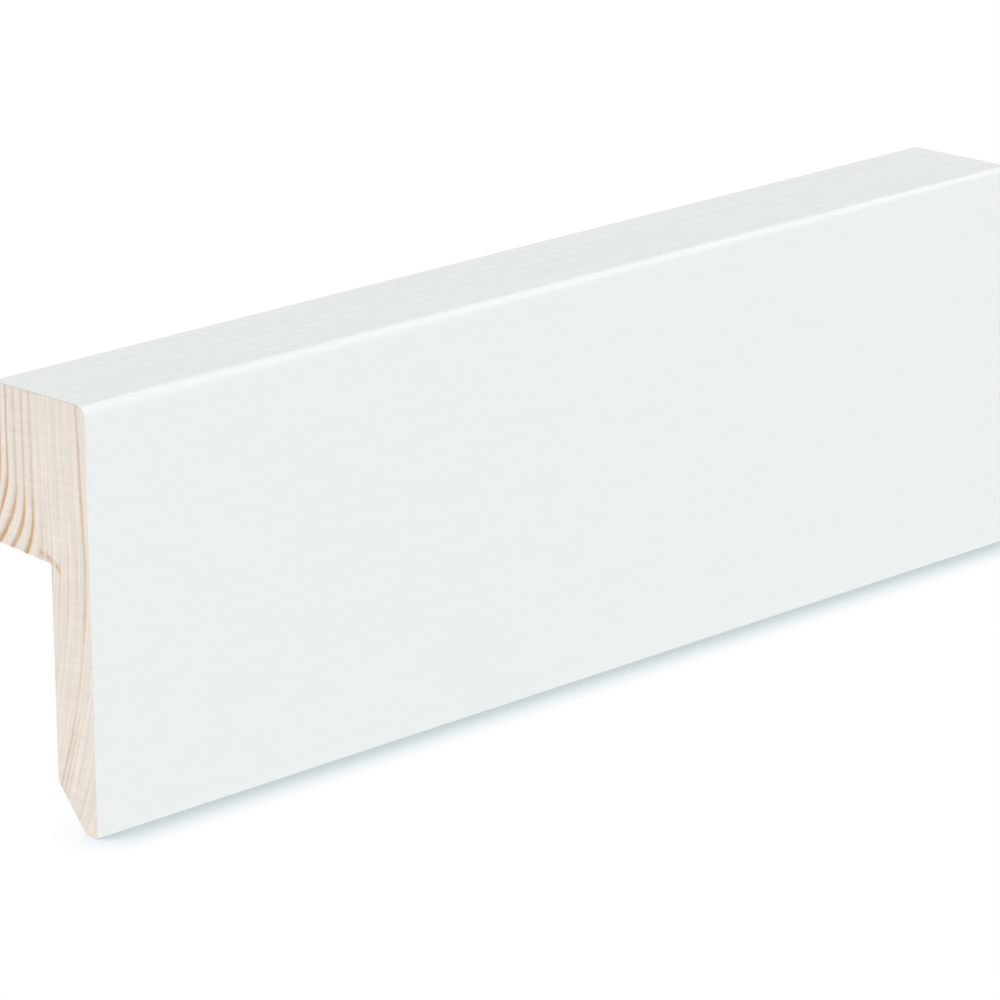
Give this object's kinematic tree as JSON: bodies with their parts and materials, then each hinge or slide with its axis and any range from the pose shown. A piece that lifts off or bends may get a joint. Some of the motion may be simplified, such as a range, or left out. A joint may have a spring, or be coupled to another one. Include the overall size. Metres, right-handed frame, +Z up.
{
  "type": "cover skirting board",
  "caption": "White lacquered solid pine skirting board with a rebated back that fits over an older skirting, a rounded top edge, a bevelled foot and raw square-sawn ends.",
  "frame": {"origin": "middle of the wall face, the flat back of the thick upper part", "axes": "+X along the board, +Y out of the back towards the wall, so -Y faces the room, +Z up"},
  "size_m": [0.216, 0.022, 0.07],
  "materials": {
    "lacquered_pine": "white satin lacquer on the face and the top, raw planed pine on the back and in the rebate, raw sawn end grain"
  },
  "bodies": {
    "root": {"skirting_board": "lacquered_pine"}
  },
  "joints": []
}
